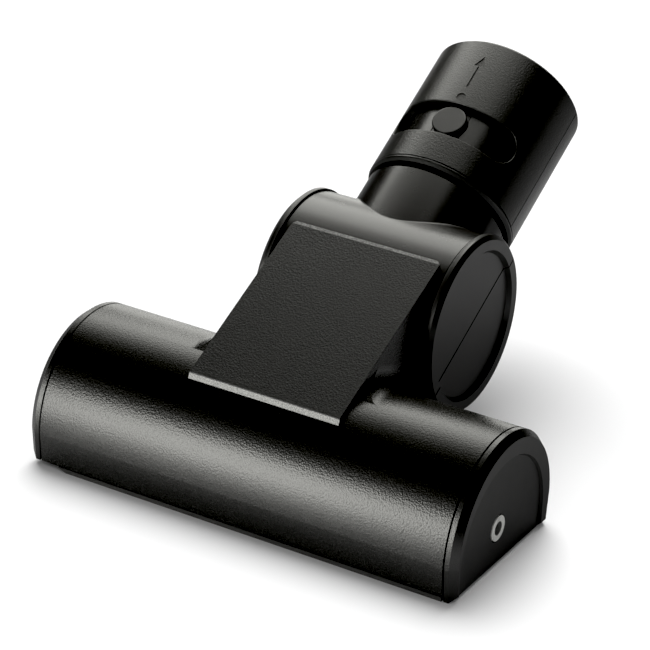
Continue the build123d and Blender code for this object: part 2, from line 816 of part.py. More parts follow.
roll_bush_left = roll_bush(-1)
roll_bush_right = roll_bush(1)

# Turbine wheel: hub, curved blades and a web across their middle
with BuildSketch() as blade:
    middle_radius = (turbine_hub_radius + turbine_radius) / 2
    tip = Vector(cos(radians(blade_sweep)), sin(radians(blade_sweep))) * (turbine_radius + blade_thickness)
    belly = Vector(middle_radius, middle_radius * sin(radians(blade_sweep / 4)))
    root = Vector(turbine_hub_radius / 2, 0)
    lift = Vector(-sin(radians(blade_sweep / 2)), cos(radians(blade_sweep / 2))) * blade_thickness
    with BuildLine():
        ThreePointArc(root, belly, tip)
        Line(tip, tip + lift)
        ThreePointArc(tip + lift, belly + lift, root + lift)
        Line(root + lift, root)
    make_face()

with BuildPart() as turbine_wheel:
    with BuildSketch(drum_plane(turbine_left)):
        with PolarLocations(0, turbine_blades):
            add(blade.sketch)
        Circle(turbine_radius, mode=Mode.INTERSECT)
    extrude(amount=turbine_right - turbine_left)
    with BuildSketch(drum_plane((turbine_left + turbine_right - web_thickness) / 2)):
        Circle(turbine_radius)
    extrude(amount=web_thickness)
    with BuildSketch(drum_plane(thrust_gap - carrier_inner_face)):
        Circle(turbine_hub_radius)
    extrude(amount=carrier_inner_face - thrust_gap + belt_x - pulley_width / 2)
    with BuildSketch(drum_plane(-carrier_inner_face)):
        Circle(shaft_radius)
    extrude(amount=2 * carrier_inner_face, mode=Mode.SUBTRACT)

with BuildPart() as turbine_shaft:
    with BuildSketch(drum_plane(-shaft_half_length)):
        Circle(shaft_radius)
    extrude(amount=2 * shaft_half_length)

with BuildPart() as drive_pinion:
    add(toothed_wheel(pinion_plane, pinion_teeth, pinion_pitch_radius, shaft_radius, pulley_width).part)
    with BuildSketch(drum_plane(belt_x + pulley_width / 2)):
        Circle(pinion_pitch_radius)
        Circle(shaft_radius, mode=Mode.SUBTRACT)
    extrude(amount=carrier_inner_face - thrust_gap - belt_x - pulley_width / 2)

# Belt: its teeth start on the far side of the roll pulley and follow the pitch line round
tangent_turn = acos((pulley_pitch_radius - pinion_pitch_radius) / axes_distance)
straight_run = sqrt(axes_distance**2 - (pulley_pitch_radius - pinion_pitch_radius) ** 2)
pulley_run = pulley_pitch_radius * (pi - tangent_turn)
pinion_run = pinion_pitch_radius * tangent_turn
belt_half_length = pulley_run + straight_run + pinion_run


def belt_station(run):
    """Place on the pitch line's upper half: X, Y and the outward angle in radians."""
    if run < pulley_run:
        turn = pi - run / pulley_pitch_radius
        return pulley_pitch_radius * cos(turn), pulley_pitch_radius * sin(turn), turn
    if run < pulley_run + straight_run:
        along = run - pulley_run
        x = pulley_pitch_radius * cos(tangent_turn) + along * sin(tangent_turn)
        y = pulley_pitch_radius * sin(tangent_turn) - along * cos(tangent_turn)
        return x, y, tangent_turn
    turn = tangent_turn - (run - pulley_run - straight_run) / pinion_pitch_radius
    return axes_distance + pinion_pitch_radius * cos(turn), pinion_pitch_radius * sin(turn), turn


belt_places = []
for index in range(belt_teeth // 2 + 1):
    x, y, turn = belt_station(index * 2 * belt_half_length / belt_teeth)
    belt_places.append(Location((x, y), degrees(turn)))
    if 0 < index < belt_teeth // 2:
        belt_places.append(Location((x, -y), -degrees(turn)))

with BuildPart() as drive_belt:
    with BuildSketch(belt_plane(belt_x - belt_width / 2)):
        add(belt_envelope(belt_reach))
        add(belt_envelope(-belt_cord_depth), mode=Mode.SUBTRACT)
        with Locations(*belt_places):
            Trapezoid(
                belt_tooth_root,
                belt_cord_depth + belt_tooth_height,
                belt_flank_angle,
                rotation=90,
                align=(Align.CENTER, Align.MIN),
            )
    extrude(amount=belt_width)


def bearing(side):
    """Plain bearing sleeve in one carrier's boss."""
    with BuildPart() as sleeve:
        with BuildSketch(drum_plane(side * (carrier_boss_end - running_clearance))):
            Circle(bearing_outer_radius)
            Circle(shaft_radius + running_clearance, mode=Mode.SUBTRACT)
        extrude(amount=-side * bearing_width)
    return sleeve


def carrier(side):
    """Plate with a screwed foot in the keel, an arm into the drum and the boss the drum turns on."""
    with BuildPart() as plate:
        with BuildSketch(across(neck_offset + side * carrier_inner_face)):
            with BuildLine():
                Polyline(
                    (carrier_foot_front, floor_top),
                    (carrier_foot_rear, floor_top),
                    (carrier_foot_rear, carrier_arm_bend),
                    on_drum(carrier_boss_radius, carrier_arm_lower_angle),
                    on_drum(carrier_boss_radius, carrier_arm_upper_angle),
                    (carrier_foot_front, carrier_arm_top),
                    close=True,
                )
            make_face()
            with Locations((drum_y, drum_z)):
                Circle(carrier_boss_radius)
        extrude(amount=side * carrier_thickness)
        with BuildSketch(drum_plane(side * carrier_inner_face)):
            Circle(carrier_boss_radius)
        extrude(amount=side * (carrier_boss_end - carrier_inner_face))
        with BuildSketch(drum_plane(side * (carrier_boss_end - running_clearance - bearing_width))):
            Circle(bearing_outer_radius)
        extrude(amount=side * (bearing_width + running_clearance), mode=Mode.SUBTRACT)
        with BuildSketch(drum_plane(side * carrier_inner_face)):
            Circle(carrier_shaft_hole)
        extrude(amount=side * carrier_boss_end, mode=Mode.SUBTRACT)
        with BuildSketch(Plane.XY.offset(floor_top)):
            with Locations((neck_offset + side * carrier_screw_x, carrier_screw_y)):
                Rectangle(carrier_flange, carrier_foot_rear - carrier_foot_front)
                Circle(screw_radius, mode=Mode.SUBTRACT)
        extrude(amount=carrier_thickness)
    return plate


bearing_left = bearing(-1)
bearing_right = bearing(1)
carrier_left = carrier(-1)
carrier_right = carrier(1)

# Elbow: drum with its two discs, neck tube and spigot, hollow throughout, before it is split
with BuildPart() as elbow:
    with BuildSketch(Plane(origin=drum_axis_point, x_dir=(1, 0, 0), z_dir=(0, -1, 0))):
        with BuildLine():
            disc_inner = disc_half_span - disc_thickness
            Polyline(
                (0, 0),
                (0, drum_radius),
                (disc_inner - groove_width, drum_radius),
                (disc_inner - groove_width, drum_radius - groove_depth),
                (disc_inner, drum_radius - groove_depth),
                (disc_inner, disc_radius),
                (disc_half_span, disc_radius),
                (disc_half_span, disc_recess_radius),
                (disc_half_span - disc_recess_depth, disc_recess_radius - disc_recess_draft),
                (disc_half_span - disc_recess_depth, 0),
                close=True,
            )
        make_face()
        mirror(about=Plane.YZ)
    revolve(axis=drum_axis)
    rims = elbow.edges().filter_by(
        lambda edge: edge.geom_type == GeomType.CIRCLE
        and abs(edge.radius - disc_radius) < seam
        and abs(abs(edge.arc_center.X - neck_offset) - disc_half_span) < seam
    )
    chamfer(rims, disc_bevel)
    with BuildSketch(tube_cross):
        Circle(neck_tube_radius)
    extrude(amount=neck_tube_end)
    roots = elbow.edges().filter_by(
        lambda edge: edge.geom_type not in (GeomType.CIRCLE, GeomType.LINE)
        and abs(edge.center().X - neck_offset) < neck_tube_radius
    )
    fillet(roots, neck_fillet)
    chamfer(elbow.faces().sort_by(tube_axis)[-1].edges(), neck_tube_bevel)
    with BuildSketch(tube_cross.offset(neck_tube_end)):
        Circle(spigot_radius)
    extrude(amount=spigot_end - neck_tube_end)
    with BuildSketch(tube_cross.offset(snap_rib_at - snap_rib_width / 2 - cradle_clearance)):
        Circle(spigot_radius)
        Circle(spigot_radius - snap_rib_height - cradle_clearance + cuff_clearance, mode=Mode.SUBTRACT)
    extrude(amount=snap_rib_width + 2 * cradle_clearance, mode=Mode.SUBTRACT)
    with BuildSketch(Plane(origin=drum_axis_point, x_dir=(1, 0, 0), z_dir=(0, -1, 0))):
        with BuildLine():
            boss_socket_radius = carrier_boss_radius + running_clearance
            Polyline(
                (0, 0),
                (0, drum_inner_radius),
                (chamber_half_width, drum_inner_radius),
                (chamber_half_width, boss_socket_radius),
                (boss_socket_depth, boss_socket_radius),
                (boss_socket_depth, 0),
                close=True,
            )
        make_face()
        mirror(about=Plane.YZ)
    revolve(axis=drum_axis, mode=Mode.SUBTRACT)
    with BuildSketch(tube_cross):
        Circle(spigot_bore_radius)
    extrude(amount=spigot_end, mode=Mode.SUBTRACT)
    window_half_width = neck_inner_half_width + window_side_clearance
    with BuildSketch(drum_plane(-window_half_width)):
        add(
            annular_sector(
                drum_inner_radius - drum_wall, drum_radius + seam, window_start_angle, window_end_angle
            )
        )
    extrude(amount=2 * window_half_width, mode=Mode.SUBTRACT)
    with BuildSketch(tube_split):
        with Locations(((lever_start + lever_end) / 2, 0)):
            Rectangle(lever_end - lever_start + 2 * lever_clearance, 2 * (lever_half_width + lever_clearance))
        with Locations((slot_centre, 0)):
            Circle(button_radius + lever_clearance)
    extrude(amount=spigot_radius + seam, mode=Mode.SUBTRACT)
    with BuildSketch(Plane(origin=drum_axis_point, x_dir=tube_direction, z_dir=(1, 0, 0))):
        with Locations((lever_pivot_at, pivot_height)):
            Circle(pivot_pin_radius + running_clearance)
    extrude(amount=lever_half_width + pivot_pin_length + lever_clearance, both=True, mode=Mode.SUBTRACT)
    with BuildSketch(tube_split.offset(-drum_radius)):
        with Locations(*elbow_screw_points):
            Circle(elbow_screw_head_radius + seam)
    extrude(amount=drum_radius - elbow_screw_head_depth, mode=Mode.SUBTRACT)
    with BuildSketch(tube_split.offset(-drum_radius)):
        with Locations(*elbow_screw_points):
            Circle(elbow_screw_radius)
    extrude(amount=drum_radius + elbow_screw_grip, mode=Mode.SUBTRACT)
    for side in (-1, 1):
        face_x = side * disc_half_span
        floor_x = side * (disc_half_span - disc_recess_depth)
        with BuildSketch(tube_split):
            with Locations((0, floor_x)):
                Rectangle(2 * (disc_recess_radius - disc_recess_draft), 2 * seam_width)
            with Locations((0, face_x)):
                with GridLocations(2 * disc_radius - disc_rim_width, 0, 2, 1):
                    Rectangle(disc_rim_width + 2 * seam, 2 * seam_width)
        extrude(amount=seam_width / 2, both=True, mode=Mode.SUBTRACT)

with BuildPart() as elbow_upper_shell:
    add(elbow.part)
    split(bisect_by=tube_split, keep=Keep.TOP)

with BuildPart() as elbow_lower_shell:
    add(elbow.part)
    split(bisect_by=tube_split, keep=Keep.BOTTOM)

with BuildPart() as elbow_screws:
    with BuildSketch(tube_split.offset(-elbow_screw_head_depth)):
        with Locations(*elbow_screw_points):
            Circle(elbow_screw_head_radius)
    extrude(amount=-screw_head_height)
    with BuildSketch(tube_split.offset(-elbow_screw_head_depth)):
        with Locations(*elbow_screw_points):
            Circle(elbow_screw_radius)
    extrude(amount=elbow_screw_head_depth + elbow_screw_grip)
    with BuildSketch(tube_split.offset(-elbow_screw_head_depth - screw_head_height)):
        with Locations(*elbow_screw_points):
            Rectangle(2 * elbow_screw_head_radius, screw_slot_width)
    extrude(amount=screw_head_height / 2, mode=Mode.SUBTRACT)

# Release button on a tongue in the spigot's upper wall, hinged on two pins
with BuildPart() as release_button:
    with BuildSketch(tube_cross.offset(lever_start)):
        Circle(lever_radius)
        Circle(lever_radius - lever_thickness, mode=Mode.SUBTRACT)
        with Locations((lever_radius, 0)):
            Rectangle(2 * lever_radius, 2 * lever_half_width, mode=Mode.INTERSECT)
    extrude(amount=lever_end - lever_start)
    with BuildSketch(tube_split.offset(lever_radius - lever_thickness)):
        with Locations((slot_centre, 0)):
            Circle(button_radius)
    extrude(amount=button_top_radius - lever_radius + lever_thickness)
    button_rim = release_button.edges().sort_by(Axis(drum_axis_point, tube_upright))[-1]
    fillet(button_rim, button_edge)
    with BuildSketch(Plane(origin=drum_axis_point, x_dir=tube_direction, z_dir=(1, 0, 0))):
        with Locations((lever_pivot_at, pivot_height)):
            Circle(pivot_pin_radius)
    extrude(amount=lever_half_width + pivot_pin_length, both=True)

# Cuff: outer sleeve with slot, marks and an end wall, before it is split
with BuildPart() as cuff:
    with BuildSketch(tube_section):
        with BuildLine():
            Polyline(
                (cuff_start, cuff_inner_radius),
                (cuff_start, cuff_radius - cuff_lower_chamfer / 2),
                (cuff_start + cuff_lower_chamfer, cuff_radius),
                (cuff_groove_at - cuff_groove_depth, cuff_radius),
                (cuff_groove_at - cuff_groove_depth / 2, cuff_radius - cuff_groove_depth),
                (cuff_groove_at, cuff_radius),
                (cuff_end - cuff_mouth_round, cuff_radius),
                (cuff_end, cuff_radius - cuff_mouth_round),
                (cuff_end, socket_outer_radius),
                (cuff_end - cuff_end_wall, socket_outer_radius),
                (cuff_end - cuff_end_wall, cuff_inner_radius),
                (snap_rib_at + snap_rib_width / 2, cuff_inner_radius),
                (snap_rib_at + snap_rib_width / 2, cuff_inner_radius - snap_rib_height),
                (snap_rib_at - snap_rib_width / 2, cuff_inner_radius - snap_rib_height),
                (snap_rib_at - snap_rib_width / 2, cuff_inner_radius),
                close=True,
            )
        make_face()
    revolve(axis=tube_axis)
    with BuildSketch(tube_radial(-slot_end_angle)):
        with Locations((slot_centre, cuff_radius)):
            Rectangle(slot_width, 2 * (cuff_radius - cuff_inner_radius) + seam)
    revolve(axis=tube_axis, revolution_arc=2 * slot_end_angle, mode=Mode.SUBTRACT)
    for side in (-1, 1):
        turn = radians(slot_end_angle)
        end_normal = tube_upright * cos(turn) + Vector(side, 0, 0) * sin(turn)
        with BuildSketch(Plane(origin=drum_axis_point, x_dir=tube_direction, z_dir=end_normal)):
            with Locations((slot_centre, 0)):
                Circle(slot_width / 2)
        extrude(amount=cuff_radius + seam, mode=Mode.SUBTRACT)
    slot_rim = cuff.edges().filter_by(
        lambda edge: edge.geom_type != GeomType.LINE
        and abs((edge @ 0.5 - drum_axis_point).cross(tube_direction).length - cuff_radius) < seam
        and abs((edge @ 0.5 - drum_axis_point).dot(tube_direction) - slot_centre) < slot_width / 2 + seam
    )
    fillet(slot_rim, slot_edge)
    with BuildSketch(tube_split.offset(cuff_radius - mark_depth)):
        with Locations((dot_at, 0)):
            Circle(dot_radius)
        with Locations(((arrow_tail_at + arrow_tip_at - arrow_head_length) / 2, 0)):
            Rectangle(arrow_tip_at - arrow_head_length - arrow_tail_at + seam, arrow_line_width)
        with BuildLine():
            Polyline(
                (arrow_tip_at, 0),
                (arrow_tip_at - arrow_head_length, arrow_head_width / 2),
                (arrow_tip_at - arrow_head_length, -arrow_head_width / 2),
                close=True,
            )
        make_face()
    extrude(amount=2 * mark_depth, mode=Mode.SUBTRACT)
    with BuildSketch(tube_split):
        with Locations(((cuff_groove_at + cuff_end) / 2, 0)):
            with GridLocations(0, 2 * cuff_radius, 1, 2):
                Rectangle(cuff_end - cuff_groove_at, 2 * seam_width)
    extrude(amount=seam_width / 2, both=True, mode=Mode.SUBTRACT)

with BuildPart() as cuff_upper_cover:
    add(cuff.part)
    split(bisect_by=tube_split, keep=Keep.TOP)

with BuildPart() as cuff_lower_cover:
    add(cuff.part)
    split(bisect_by=tube_split, keep=Keep.BOTTOM)

with BuildPart() as socket_tube:
    with BuildSketch(tube_cross.offset(socket_start)):
        Circle(socket_outer_radius)
        Circle(socket_bore_radius, mode=Mode.SUBTRACT)
    extrude(amount=cuff_end - socket_start)
    with BuildSketch(tube_cross.offset(socket_flange_at)):
        Circle(cuff_inner_radius)
        Circle(socket_bore_radius, mode=Mode.SUBTRACT)
    extrude(amount=socket_flange_thickness)

with BuildPart() as felt_ring:
    with BuildSketch(tube_cross.offset(felt_start)):
        Circle(spigot_bore_radius - felt_clearance)
        Circle(socket_outer_radius, mode=Mode.SUBTRACT)
    extrude(amount=felt_length)

upper_housing.part.label = "upper_housing"
export_step(upper_housing.part, "parts/upper_housing.step")

lower_housing.part.label = "lower_housing"
export_step(lower_housing.part, "parts/lower_housing.step")

sole_plate.part.label = "sole_plate"
export_step(sole_plate.part, "parts/sole_plate.step")

housing_screws.part.label = "housing_screws"
export_step(housing_screws.part, "parts/housing_screws.step")

sole_screws.part.label = "sole_screws"
export_step(sole_screws.part, "parts/sole_screws.step")

left_end_cap.part.label = "left_end_cap"
export_step(left_end_cap.part, "parts/left_end_cap.step")

right_end_cap.part.label = "right_end_cap"
export_step(right_end_cap.part, "parts/right_end_cap.step")

roll_axle.part.label = "roll_axle"
export_step(roll_axle.part, "parts/roll_axle.step")

brush_core.part.label = "brush_core"
export_step(brush_core.part, "parts/brush_core.step")

bristle_tufts_a.part.label = "bristle_tufts_a"
export_step(bristle_tufts_a.part, "parts/bristle_tufts_a.step")

bristle_tufts_b.part.label = "bristle_tufts_b"
export_step(bristle_tufts_b.part, "parts/bristle_tufts_b.step")

roll_pulley.part.label = "roll_pulley"
export_step(roll_pulley.part, "parts/roll_pulley.step")

roll_bush_left.part.label = "roll_bush_left"
export_step(roll_bush_left.part, "parts/roll_bush_left.step")

roll_bush_right.part.label = "roll_bush_right"
export_step(roll_bush_right.part, "parts/roll_bush_right.step")

turbine_wheel.part.label = "turbine_wheel"
export_step(turbine_wheel.part, "parts/turbine_wheel.step")

turbine_shaft.part.label = "turbine_shaft"
export_step(turbine_shaft.part, "parts/turbine_shaft.step")

drive_pinion.part.label = "drive_pinion"
export_step(drive_pinion.part, "parts/drive_pinion.step")

drive_belt.part.label = "drive_belt"
export_step(drive_belt.part, "parts/drive_belt.step")

bearing_left.part.label = "bearing_left"
export_step(bearing_left.part, "parts/bearing_left.step")

bearing_right.part.label = "bearing_right"
export_step(bearing_right.part, "parts/bearing_right.step")

carrier_left.part.label = "carrier_left"
export_step(carrier_left.part, "parts/carrier_left.step")

carrier_right.part.label = "carrier_right"
export_step(carrier_right.part, "parts/carrier_right.step")

carrier_screws.part.label = "carrier_screws"
export_step(carrier_screws.part, "parts/carrier_screws.step")

elbow_upper_shell.part.label = "elbow_upper_shell"
export_step(elbow_upper_shell.part, "parts/elbow_upper_shell.step")

elbow_lower_shell.part.label = "elbow_lower_shell"
export_step(elbow_lower_shell.part, "parts/elbow_lower_shell.step")

elbow_screws.part.label = "elbow_screws"
export_step(elbow_screws.part, "parts/elbow_screws.step")

release_button.part.label = "release_button"
export_step(release_button.part, "parts/release_button.step")

cuff_upper_cover.part.label = "cuff_upper_cover"
export_step(cuff_upper_cover.part, "parts/cuff_upper_cover.step")

cuff_lower_cover.part.label = "cuff_lower_cover"
export_step(cuff_lower_cover.part, "parts/cuff_lower_cover.step")

socket_tube.part.label = "socket_tube"
export_step(socket_tube.part, "parts/socket_tube.step")

felt_ring.part.label = "felt_ring"
export_step(felt_ring.part, "parts/felt_ring.step")
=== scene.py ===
"""Looks of an air-driven floor brush: camera, light, and the surface of each of its pieces."""

from math import cos, pi, radians, sin

import bpy
import numpy as np
from mathutils import Matrix, Vector


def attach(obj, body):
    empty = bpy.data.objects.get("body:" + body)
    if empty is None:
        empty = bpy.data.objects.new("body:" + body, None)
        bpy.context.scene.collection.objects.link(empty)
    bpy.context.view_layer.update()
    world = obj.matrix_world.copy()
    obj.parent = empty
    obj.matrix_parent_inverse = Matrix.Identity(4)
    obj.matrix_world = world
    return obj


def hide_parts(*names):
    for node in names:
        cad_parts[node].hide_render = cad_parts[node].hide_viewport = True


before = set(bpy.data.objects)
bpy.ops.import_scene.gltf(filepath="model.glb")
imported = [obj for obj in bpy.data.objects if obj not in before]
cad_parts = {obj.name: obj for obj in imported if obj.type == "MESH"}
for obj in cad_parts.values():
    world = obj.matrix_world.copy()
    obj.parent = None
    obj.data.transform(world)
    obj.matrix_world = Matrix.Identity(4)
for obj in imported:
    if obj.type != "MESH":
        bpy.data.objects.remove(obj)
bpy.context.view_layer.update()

scene = bpy.context.scene

# Camera: a long lens above the right front corner of the brush, looking down on it.
# The view's right and up directions are turned by the small roll of the picture.
MM = 0.001
PICTURE_SIDE = 650
FOCAL_PIXELS = 2988.3
FILM_WIDTH = 36
NEAREST, FURTHEST = 0.05, 20
CAMERA_AZIMUTH = radians(29.719)
CAMERA_ELEVATION = radians(26.168)
CAMERA_ROLL = radians(2.628)
CAMERA_DISTANCE = 980.652 * MM
CAMERA_SHIFT_RIGHT = 9.620 * MM
CAMERA_SHIFT_UP = 52.022 * MM
CAMERA_TARGET = Vector((0, 6 * MM, 0))

level_right = Vector((cos(CAMERA_AZIMUTH), sin(CAMERA_AZIMUTH), 0))
camera_back = Vector(
    (
        sin(CAMERA_AZIMUTH) * cos(CAMERA_ELEVATION),
        -cos(CAMERA_AZIMUTH) * cos(CAMERA_ELEVATION),
        sin(CAMERA_ELEVATION),
    )
)
level_up = camera_back.cross(level_right)
camera_right = cos(CAMERA_ROLL) * level_right + sin(CAMERA_ROLL) * level_up
camera_up = cos(CAMERA_ROLL) * level_up - sin(CAMERA_ROLL) * level_right

camera_data = bpy.data.cameras.new("camera")
camera_data.sensor_width = FILM_WIDTH
camera_data.lens = FOCAL_PIXELS * FILM_WIDTH / PICTURE_SIDE
camera_data.clip_start, camera_data.clip_end = NEAREST, FURTHEST
camera = bpy.data.objects.new("camera", camera_data)
scene.collection.objects.link(camera)
camera_place = Matrix((camera_right, camera_up, camera_back)).transposed().to_4x4()
camera_place.translation = (
    CAMERA_TARGET
    + CAMERA_SHIFT_RIGHT * camera_right
    + CAMERA_SHIFT_UP * camera_up
    + CAMERA_DISTANCE * camera_back
)
camera.matrix_world = camera_place
scene.camera = camera


# Floor: a flat sheet of pale paper that the brush stands on.
# In the gloss of the plastic it is mirrored in a darker grey, a painted shadow of the brush which is
# deepest near the brush, palest a little further out, and paler again to the right front as painted light.
class Value:
    """A number that varies over a surface. Arithmetic on it adds Math nodes to its material."""

    def __init__(self, owner, socket):
        self.owner, self.socket = owner, socket

    def math(self, operation, first, second=0.0):
        return self.owner.node("Math", {"operation": operation}, {0: first, 1: second})

    def __add__(self, other):
        return self.math("ADD", self, other)

    def __sub__(self, other):
        return self.math("SUBTRACT", self, other)

    def __rsub__(self, other):
        return self.math("SUBTRACT", other, self)

    def __mul__(self, other):
        return self.math("MULTIPLY", self, other)

    def __pow__(self, other):
        return self.math("POWER", self, other)

    __radd__ = __add__
    __rmul__ = __mul__

    def size(self):
        """The value without its sign."""
        return self.math("ABSOLUTE", self)

    def ramp(self, start, end):
        """0 below start, 1 above end and a smooth rise between them; start may be the larger."""
        flip = start > end
        rise = self.owner.node(
            "MapRange",
            {"interpolation_type": "SMOOTHSTEP"},
            {"Value": self, "From Min": min(start, end), "From Max": max(start, end)},
        )
        return 1 - rise if flip else rise


class Nodes:
    """The shader nodes of a material or of the room."""

    def __init__(self, owner):
        owner.use_nodes = True
        self.tree = owner.node_tree

    def fill(self, made, sockets):
        """Gives the sockets of a node their values or links."""
        for key, value in sockets.items():
            if isinstance(value, Value):
                self.tree.links.new(value.socket, made.inputs[key])
            else:
                made.inputs[key].default_value = value

    def node(self, kind, settings, sockets, output=0):
        """Adds a node: its settings or a ramp's grey stops first, then its sockets' values or links."""
        made = self.tree.nodes.new("ShaderNode" + kind)
        for key, value in settings.items():
            if key == "stops":
                while len(made.color_ramp.elements) < len(value):
                    made.color_ramp.elements.new(1)
                for element, (position, grey) in zip(made.color_ramp.elements, value):
                    element.position, element.color = position, (grey, grey, grey, 1)
            else:
                setattr(made, key, value)
        self.fill(made, sockets)
        return Value(self, made.outputs[output])

    def choose(self, ray, stock, other, end):
        """Joins a stock shader to the end node, and another one in its place for one kind of ray."""
        kind = self.node("LightPath", {}, {}, ray)
        both = self.node("MixShader", {}, {0: kind, 1: Value(self, stock.outputs[0]), 2: other})
        self.fill(self.tree.nodes[end], {"Surface": both})


FLOOR_HALF = 4.0
BRUSH_MIDDLE = (0, 0.07, 0)
RIGHT_FRONT = (0.8, -0.6, 0)
PAPER_LOOK = {"Base Color": (0.93, 0.93, 0.93, 1), "Roughness": 0.9, "Specular IOR Level": 0.0}
MIRRORED_ROUGH = 0.2
# Painted shadow of the brush in the floor's reflection: greys by distance from the brush.
MIRRORED_SHADOW_GREYS = ((0.09, 0.2), (0.16, 0.62), (0.27, 0.32))
PALER_FROM, PALER_TO = 0.08, 0.16
PALER_BY = 0.6

floor_mesh = bpy.data.meshes.new("floor")
floor_corners = [(-1, -1, 0), (1, -1, 0), (1, 1, 0), (-1, 1, 0)]
floor_mesh.from_pydata((np.array(floor_corners) * FLOOR_HALF).tolist(), [], [(0, 1, 2, 3)])
floor = bpy.data.objects.new("floor", floor_mesh)
scene.collection.objects.link(floor)
floor_paper = bpy.data.materials.new("floor_paper")
paper = Nodes(floor_paper)
seen_paper = paper.tree.nodes["Principled BSDF"]
paper.fill(seen_paper, PAPER_LOOK)
floor_place = paper.node("TexCoord", {}, {}, "Object")
from_brush = paper.node(
    "VectorMath", {"operation": "DISTANCE"}, {0: floor_place, 1: BRUSH_MIDDLE}, "Value"
)
# Painted shadow near the brush and painted light towards the right front, only in the mirrored floor.
painted_floor_shadow = paper.node("ValToRGB", {"stops": MIRRORED_SHADOW_GREYS}, {"Fac": from_brush})
to_right_front = paper.node(
    "VectorMath", {"operation": "DOT_PRODUCT"}, {0: floor_place, 1: RIGHT_FRONT}, "Value"
)
painted_floor_light = PALER_BY * paper.node(
    "MapRange", {}, {"Value": to_right_front, "From Min": PALER_FROM, "From Max": PALER_TO}
)
mirrored_paper = paper.node(
    "BsdfPrincipled", {}, {"Base Color": painted_floor_shadow + painted_floor_light, "Roughness": MIRRORED_ROUGH}
)
paper.choose("Is Glossy Ray", seen_paper, mirrored_paper, "Material Output")
floor_mesh.materials.append(floor_paper)

# Studio: a pale room, white to the camera and so dim otherwise that the brush leaves a shadow on the floor.
# The plastic doesn't mirror it, but four soft lamps: a low tall one at the left front, two close above
# and behind the brush, and a far one behind. The right side stays dark.
WHITE = (1.0, 1.0, 1.0, 1)
ROOM_STRENGTH = 0.3
room = bpy.data.worlds.new("studio")
air = Nodes(room)
dim_air = air.tree.nodes["Background"]
air.fill(dim_air, {"Color": WHITE, "Strength": ROOM_STRENGTH})
seen_air = air.node("Background", {}, {"Color": WHITE})
air.choose("Is Camera Ray", dim_air, seen_air, "World Output")
room.cycles_visibility.glossy = False
scene.world = room

LAMP_COLOUR = (1.0, 1.0, 0.95)


def soft_panel(name, place, target, width, height, radiance):
    """Rectangular lamp at a place, turned to a target; metres, and power from its radiance."""
    data = bpy.data.lights.new(name, "AREA")
    data.shape, data.size, data.size_y = "RECTANGLE", width, height
    data.energy = radiance * pi * width * height
    data.color = LAMP_COLOUR
    lamp = bpy.data.objects.new(name, data)
    scene.collection.objects.link(lamp)
    lamp.location = place
    lamp.rotation_euler = (Vector(target) - Vector(place)).to_track_quat("-Z", "Y").to_euler()
    lamp.visible_camera = lamp.visible_diffuse = False


soft_panel("front_panel", (-0.36, -0.71, 0.19), (0, 0, 0.19), 0.42, 0.38, 8.9)
soft_panel("top_panel", (-0.16, 0.33, 0.26), (-0.16, 0.3301, 0.0), 0.34, 0.38, 2.2)
soft_panel("wide_top_panel", (-0.13, 0.26, 0.262), (-0.13, 0.2601, 0.0), 0.42, 0.38, 1.2)
soft_panel("rear_panel", (-0.55, 1.07, 0.2), (0, 0, 0.2), 0.5, 0.4, 1.7)

# Broad light: a wide lamp far above, behind and to the left, which the plastic doesn't mirror.
# It whitens the floor and leaves a soft shadow at the brush's foot.
BROAD_WIDTH = radians(44)
BROAD_ENERGY = 2.6
BROAD_DIRECTION = Vector((0.28, -0.48, -1.0))
broad_data = bpy.data.lights.new("broad_light", "SUN")
broad_data.angle = BROAD_WIDTH
broad_data.energy = BROAD_ENERGY
broad_light = bpy.data.objects.new("broad_light", broad_data)
scene.collection.objects.link(broad_light)
broad_light.rotation_euler = BROAD_DIRECTION.to_track_quat("-Z", "Y").to_euler()
broad_light.visible_camera = broad_light.visible_glossy = False

# Print: the picture keeps the plain tones of the lens, with no film curve.
# It is printed with full whites and deep blacks.
BLACK_LEVEL, WHITE_LEVEL = 0.009, 0.83
look = scene.view_settings
look.view_transform = "Standard"
look.use_curve_mapping = True
look.curve_mapping.black_level = (BLACK_LEVEL,) * 3
look.curve_mapping.white_level = (WHITE_LEVEL,) * 3
